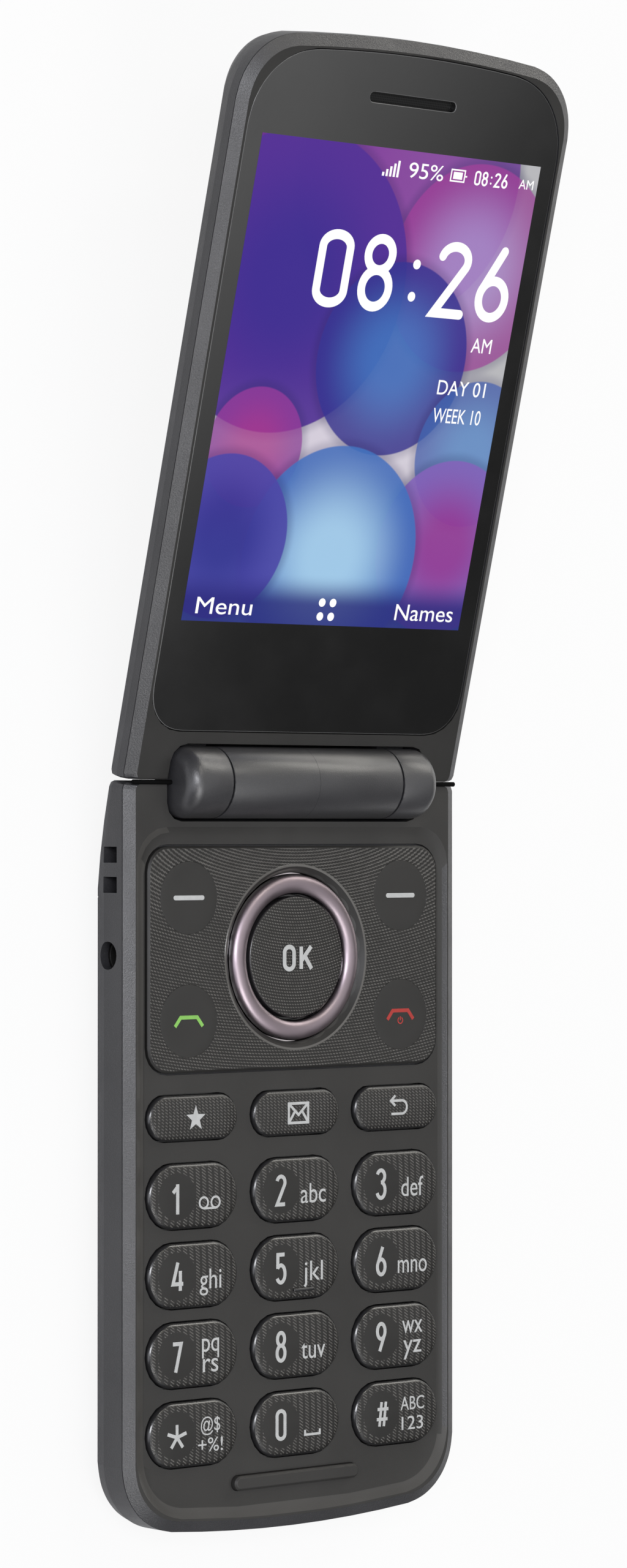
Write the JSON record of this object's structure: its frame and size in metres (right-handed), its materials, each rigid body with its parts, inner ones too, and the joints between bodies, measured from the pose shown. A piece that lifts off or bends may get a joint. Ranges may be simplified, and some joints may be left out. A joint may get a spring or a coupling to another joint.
{
  "type": "flip phone",
  "caption": "Clamshell mobile phone, lid open: keypad base with a round navigation ring, hinged lid with a large inner screen, an outer display and a camera.",
  "frame": {"origin": "middle of the base's flat back, which it lies on", "axes": "+X to the keypad's right, +Y from the keypad's foot to the hinge, +Z out of the keypad"},
  "size_m": [0.0585, 0.1968, 0.0358],
  "materials": {
    "case": "fine-grained satin paint",
    "key": "fine patterned gloss",
    "panel": "fine patterned satin",
    "ring": "brushed and anodised",
    "lens": "high gloss",
    "display": "lit picture",
    "board": "solder mask",
    "battery": "foil pouch",
    "steel": "satin",
    "rubber": "matte",
    "dark": "matte",
    "glass": "coated"
  },
  "bodies": {
    "base": {"front_housing": "case", "rear_housing": "case", "battery_cover": "case", "nav_panel": "panel", "closing_bumper": "rubber", "key_mat": "rubber", "main_board": "board", "battery": "battery", "loudspeaker": "dark", "vibration_motor": "steel", "card_socket": "steel", "microphone": "dark", "headphone_socket": "dark", "usb_socket": "steel", "hinge_cartridge": "steel", "hinge_bushing": "steel", "screw_upper_left": "steel", "screw_upper_right": "steel", "screw_lower_left": "steel", "screw_lower_right": "steel"},
    "lid": {"lid_front": "case", "lid_cover": "case", "screen_lens": "lens", "main_display": "display", "earpiece_mesh": "steel", "earpiece": "dark", "lid_board": "board", "outer_display": "display", "outer_lens": "lens", "camera_ring": "steel", "camera_glass": "glass", "camera_module": "dark", "lid_magnet": "steel", "hinge_shaft": "steel"},
    "favourite_key": {"favourite_key": "key"},
    "message_key": {"message_key": "key"},
    "back_key": {"back_key": "key"},
    "key_1": {"key_1": "key"},
    "key_2": {"key_2": "key"},
    "key_3": {"key_3": "key"},
    "key_4": {"key_4": "key"},
    "key_5": {"key_5": "key"},
    "key_6": {"key_6": "key"},
    "key_7": {"key_7": "key"},
    "key_8": {"key_8": "key"},
    "key_9": {"key_9": "key"},
    "key_star": {"key_star": "key"},
    "key_0": {"key_0": "key"},
    "key_hash": {"key_hash": "key"},
    "soft_key_left": {"soft_key_left": "key"},
    "soft_key_right": {"soft_key_right": "key"},
    "call_key": {"call_key": "key"},
    "end_key": {"end_key": "key"},
    "nav_ring": {"nav_ring": "ring"},
    "ok_key": {"ok_key": "panel"},
    "volume_key": {"volume_key": "key"}
  },
  "joints": [
    {"name": "lid_hinge", "type": "hinge", "parent": "base", "child": "lid", "pos_m": [0, 0.0498, 0.0107], "axis": [1, 0, 0], "range_deg": [0, 165]},
    {"name": "favourite_key_press", "type": "slide", "parent": "base", "child": "favourite_key", "axis": [0, 0, -1], "range_m": [0, 0.00035], "stiffness_N_per_m": 4000},
    {"name": "message_key_press", "type": "slide", "parent": "base", "child": "message_key", "axis": [0, 0, -1], "range_m": [0, 0.00035], "stiffness_N_per_m": 4000},
    {"name": "back_key_press", "type": "slide", "parent": "base", "child": "back_key", "axis": [0, 0, -1], "range_m": [0, 0.00035], "stiffness_N_per_m": 4000},
    {"name": "key_1_press", "type": "slide", "parent": "base", "child": "key_1", "axis": [0, 0, -1], "range_m": [0, 0.00035], "stiffness_N_per_m": 4000},
    {"name": "key_2_press", "type": "slide", "parent": "base", "child": "key_2", "axis": [0, 0, -1], "range_m": [0, 0.00035], "stiffness_N_per_m": 4000},
    {"name": "key_3_press", "type": "slide", "parent": "base", "child": "key_3", "axis": [0, 0, -1], "range_m": [0, 0.00035], "stiffness_N_per_m": 4000},
    {"name": "key_4_press", "type": "slide", "parent": "base", "child": "key_4", "axis": [0, 0, -1], "range_m": [0, 0.00035], "stiffness_N_per_m": 4000},
    {"name": "key_5_press", "type": "slide", "parent": "base", "child": "key_5", "axis": [0, 0, -1], "range_m": [0, 0.00035], "stiffness_N_per_m": 4000},
    {"name": "key_6_press", "type": "slide", "parent": "base", "child": "key_6", "axis": [0, 0, -1], "range_m": [0, 0.00035], "stiffness_N_per_m": 4000},
    {"name": "key_7_press", "type": "slide", "parent": "base", "child": "key_7", "axis": [0, 0, -1], "range_m": [0, 0.00035], "stiffness_N_per_m": 4000},
    {"name": "key_8_press", "type": "slide", "parent": "base", "child": "key_8", "axis": [0, 0, -1], "range_m": [0, 0.00035], "stiffness_N_per_m": 4000},
    {"name": "key_9_press", "type": "slide", "parent": "base", "child": "key_9", "axis": [0, 0, -1], "range_m": [0, 0.00035], "stiffness_N_per_m": 4000},
    {"name": "key_star_press", "type": "slide", "parent": "base", "child": "key_star", "axis": [0, 0, -1], "range_m": [0, 0.00035], "stiffness_N_per_m": 4000},
    {"name": "key_0_press", "type": "slide", "parent": "base", "child": "key_0", "axis": [0, 0, -1], "range_m": [0, 0.00035], "stiffness_N_per_m": 4000},
    {"name": "key_hash_press", "type": "slide", "parent": "base", "child": "key_hash", "axis": [0, 0, -1], "range_m": [0, 0.00035], "stiffness_N_per_m": 4000},
    {"name": "soft_key_left_press", "type": "slide", "parent": "base", "child": "soft_key_left", "axis": [0, 0, -1], "range_m": [0, 0.00035], "stiffness_N_per_m": 4000},
    {"name": "soft_key_right_press", "type": "slide", "parent": "base", "child": "soft_key_right", "axis": [0, 0, -1], "range_m": [0, 0.00035], "stiffness_N_per_m": 4000},
    {"name": "call_key_press", "type": "slide", "parent": "base", "child": "call_key", "axis": [0, 0, -1], "range_m": [0, 0.00035], "stiffness_N_per_m": 4000},
    {"name": "end_key_press", "type": "slide", "parent": "base", "child": "end_key", "axis": [0, 0, -1], "range_m": [0, 0.00035], "stiffness_N_per_m": 4000},
    {"name": "nav_ring_press", "type": "slide", "parent": "base", "child": "nav_ring", "axis": [0, 0, -1], "range_m": [0, 0.00035], "stiffness_N_per_m": 4000},
    {"name": "ok_key_press", "type": "slide", "parent": "base", "child": "ok_key", "axis": [0, 0, -1], "range_m": [0, 0.00035], "stiffness_N_per_m": 4000},
    {"name": "volume_key_rock", "type": "hinge", "parent": "base", "child": "volume_key", "pos_m": [0.0267, 0.0258, 0.00645], "axis": [0, 0, 1], "range_deg": [-1.5, 1.5], "stiffness_Nm_per_rad": 0.3}
  ]
}
